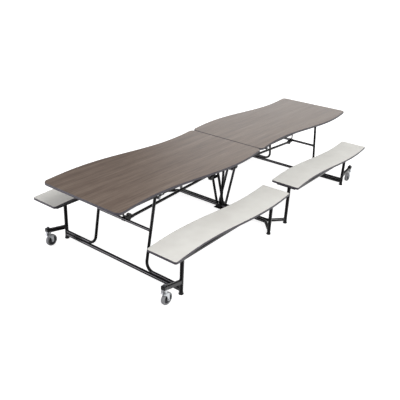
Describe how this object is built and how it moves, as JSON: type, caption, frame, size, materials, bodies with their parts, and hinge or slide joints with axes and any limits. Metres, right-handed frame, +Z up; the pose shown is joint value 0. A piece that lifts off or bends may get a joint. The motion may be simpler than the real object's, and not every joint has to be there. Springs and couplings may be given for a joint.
{
  "type": "folding cafeteria table with benches",
  "caption": "Long cafeteria table with attached wavy-edged benches on wheeled end frames; folds up at a centre frame by a locking parallel linkage",
  "frame": {"origin": "on the floor below the middle of the seam between the two decks, table open", "axes": "+X along the table towards the far end, +Y across it, +Z up"},
  "size_m": [3.666, 1.619, 0.737],
  "materials": {
    "frame_black": "black powder coat, semi-gloss",
    "laminate": "grey-brown woodgrain laminate on a plywood core, satin",
    "seat_laminate": "off-white laminate on a plywood core, satin",
    "edge_band": "black vinyl edge band, satin",
    "zinc": "bright zinc plate",
    "hub_grey": "moulded grey plastic",
    "tyre_grey": "grey non-marking rubber",
    "glide_black": "moulded black plastic"
  },
  "bodies": {
    "near_end_frame": {"near_left_leg": "frame_black", "near_right_leg": "frame_black", "near_cross_tubes": "frame_black", "near_posts": "frame_black", "near_caster_arms": "frame_black", "near_caster_stems": "zinc", "near_glides": "glide_black"},
    "near_deck": {"near_deck": "laminate", "near_deck_band": "edge_band", "near_rails": "frame_black", "near_straps": "frame_black", "near_hangers": "glide_black"},
    "far_end_frame": {"far_left_leg": "frame_black", "far_right_leg": "frame_black", "far_cross_tubes": "frame_black", "far_posts": "frame_black", "far_caster_arms": "frame_black", "far_caster_stems": "zinc", "far_glides": "glide_black"},
    "far_deck": {"far_deck": "laminate", "far_deck_band": "edge_band", "far_rails": "frame_black", "far_straps": "frame_black", "far_hangers": "glide_black"},
    "centre_frame": {"centre_base_tubes": "frame_black", "centre_posts": "frame_black", "centre_bench_arms": "frame_black", "centre_glides": "glide_black", "centre_slant_legs": "frame_black", "centre_head_tubes": "frame_black", "centre_stop_post": "frame_black"},
    "near_link": {"near_link": "frame_black"},
    "near_left_bench": {"near_left_bench": "seat_laminate", "near_left_bench_band": "edge_band", "near_left_bench_frame": "frame_black"},
    "near_right_bench": {"near_right_bench": "seat_laminate", "near_right_bench_band": "edge_band", "near_right_bench_frame": "frame_black"},
    "near_lock": {"near_lock": "frame_black"},
    "near_left_fork": {"near_left_fork": "zinc"},
    "near_left_wheel": {"near_left_wheel": "hub_grey", "near_left_tyre": "tyre_grey"},
    "near_right_fork": {"near_right_fork": "zinc"},
    "near_right_wheel": {"near_right_wheel": "hub_grey", "near_right_tyre": "tyre_grey"},
    "far_link": {"far_link": "frame_black"},
    "far_left_bench": {"far_left_bench": "seat_laminate", "far_left_bench_band": "edge_band", "far_left_bench_frame": "frame_black"},
    "far_right_bench": {"far_right_bench": "seat_laminate", "far_right_bench_band": "edge_band", "far_right_bench_frame": "frame_black"},
    "far_lock": {"far_lock": "frame_black"},
    "far_left_fork": {"far_left_fork": "zinc"},
    "far_left_wheel": {"far_left_wheel": "hub_grey", "far_left_tyre": "tyre_grey"},
    "far_right_fork": {"far_right_fork": "zinc"},
    "far_right_wheel": {"far_right_wheel": "hub_grey", "far_right_tyre": "tyre_grey"}
  },
  "joints": [
    {"name": "near_deck_fold", "type": "hinge", "parent": "near_end_frame", "child": "near_deck", "pos_m": [-1.335, 0, 0.672], "axis": [0, -1, 0], "range_deg": [0, 80]},
    {"name": "centre_lift", "type": "hinge", "parent": "near_deck", "child": "centre_frame", "pos_m": [-0.223, 0, 0.672], "axis": [0, 1, 0], "range_deg": [0, 80]},
    {"name": "far_deck_fold", "type": "hinge", "parent": "centre_frame", "child": "far_deck", "pos_m": [0.223, 0, 0.672], "axis": [0, 1, 0], "range_deg": [0, 80]},
    {"name": "far_frame_level", "type": "hinge", "parent": "far_deck", "child": "far_end_frame", "pos_m": [1.335, 0, 0.672], "axis": [0, -1, 0], "range_deg": [0, 80]},
    {"name": "near_link_fold", "type": "hinge", "parent": "near_end_frame", "child": "near_link", "pos_m": [-1.33, 0, 0.392], "axis": [0, -1, 0], "range_deg": [0, 80]},
    {"name": "near_left_bench_fold", "type": "hinge", "parent": "near_end_frame", "child": "near_left_bench", "pos_m": [-1.436, 0.655, 0.372], "axis": [0, -1, 0], "range_deg": [0, 80]},
    {"name": "near_right_bench_fold", "type": "hinge", "parent": "near_end_frame", "child": "near_right_bench", "pos_m": [-1.436, -0.655, 0.372], "axis": [0, -1, 0], "range_deg": [0, 80]},
    {"name": "near_lock_catch", "type": "hinge", "parent": "near_end_frame", "child": "near_lock", "pos_m": [-1.335, 0, 0.672], "axis": [0, -1, 0], "range_deg": [0, 3]},
    {"name": "near_left_swivel", "type": "hinge", "parent": "near_end_frame", "child": "near_left_fork", "pos_m": [-1.633, 0.655, 0.12], "axis": [0, 0, 1], "continuous": true},
    {"name": "near_left_roll", "type": "hinge", "parent": "near_left_fork", "child": "near_left_wheel", "pos_m": [-1.606, 0.655, 0.051], "axis": [0, 1, 0], "continuous": true},
    {"name": "near_right_swivel", "type": "hinge", "parent": "near_end_frame", "child": "near_right_fork", "pos_m": [-1.633, -0.655, 0.12], "axis": [0, 0, 1], "continuous": true},
    {"name": "near_right_roll", "type": "hinge", "parent": "near_right_fork", "child": "near_right_wheel", "pos_m": [-1.606, -0.655, 0.051], "axis": [0, 1, 0], "continuous": true},
    {"name": "far_link_fold", "type": "hinge", "parent": "far_end_frame", "child": "far_link", "pos_m": [1.33, 0, 0.392], "axis": [0, 1, 0], "range_deg": [0, 80]},
    {"name": "far_left_bench_fold", "type": "hinge", "parent": "far_end_frame", "child": "far_left_bench", "pos_m": [1.436, 0.655, 0.372], "axis": [0, 1, 0], "range_deg": [0, 80]},
    {"name": "far_right_bench_fold", "type": "hinge", "parent": "far_end_frame", "child": "far_right_bench", "pos_m": [1.436, -0.655, 0.372], "axis": [0, 1, 0], "range_deg": [0, 80]},
    {"name": "far_lock_catch", "type": "hinge", "parent": "far_end_frame", "child": "far_lock", "pos_m": [1.335, 0, 0.672], "axis": [0, 1, 0], "range_deg": [0, 3]},
    {"name": "far_left_swivel", "type": "hinge", "parent": "far_end_frame", "child": "far_left_fork", "pos_m": [1.633, 0.655, 0.12], "axis": [0, 0, 1], "continuous": true},
    {"name": "far_left_roll", "type": "hinge", "parent": "far_left_fork", "child": "far_left_wheel", "pos_m": [1.606, 0.655, 0.051], "axis": [0, 1, 0], "continuous": true},
    {"name": "far_right_swivel", "type": "hinge", "parent": "far_end_frame", "child": "far_right_fork", "pos_m": [1.633, -0.655, 0.12], "axis": [0, 0, 1], "continuous": true},
    {"name": "far_right_roll", "type": "hinge", "parent": "far_right_fork", "child": "far_right_wheel", "pos_m": [1.606, -0.655, 0.051], "axis": [0, 1, 0], "continuous": true}
  ],
  "couplings": [
    {"joint": "centre_lift", "follows": "near_deck_fold", "ratio": 1},
    {"joint": "far_deck_fold", "follows": "near_deck_fold", "ratio": 1},
    {"joint": "far_frame_level", "follows": "near_deck_fold", "ratio": 1},
    {"joint": "near_link_fold", "follows": "near_deck_fold", "ratio": 1},
    {"joint": "near_left_bench_fold", "follows": "near_deck_fold", "ratio": 1},
    {"joint": "near_right_bench_fold", "follows": "near_deck_fold", "ratio": 1},
    {"joint": "far_link_fold", "follows": "near_deck_fold", "ratio": 1},
    {"joint": "far_left_bench_fold", "follows": "near_deck_fold", "ratio": 1},
    {"joint": "far_right_bench_fold", "follows": "near_deck_fold", "ratio": 1}
  ]
}
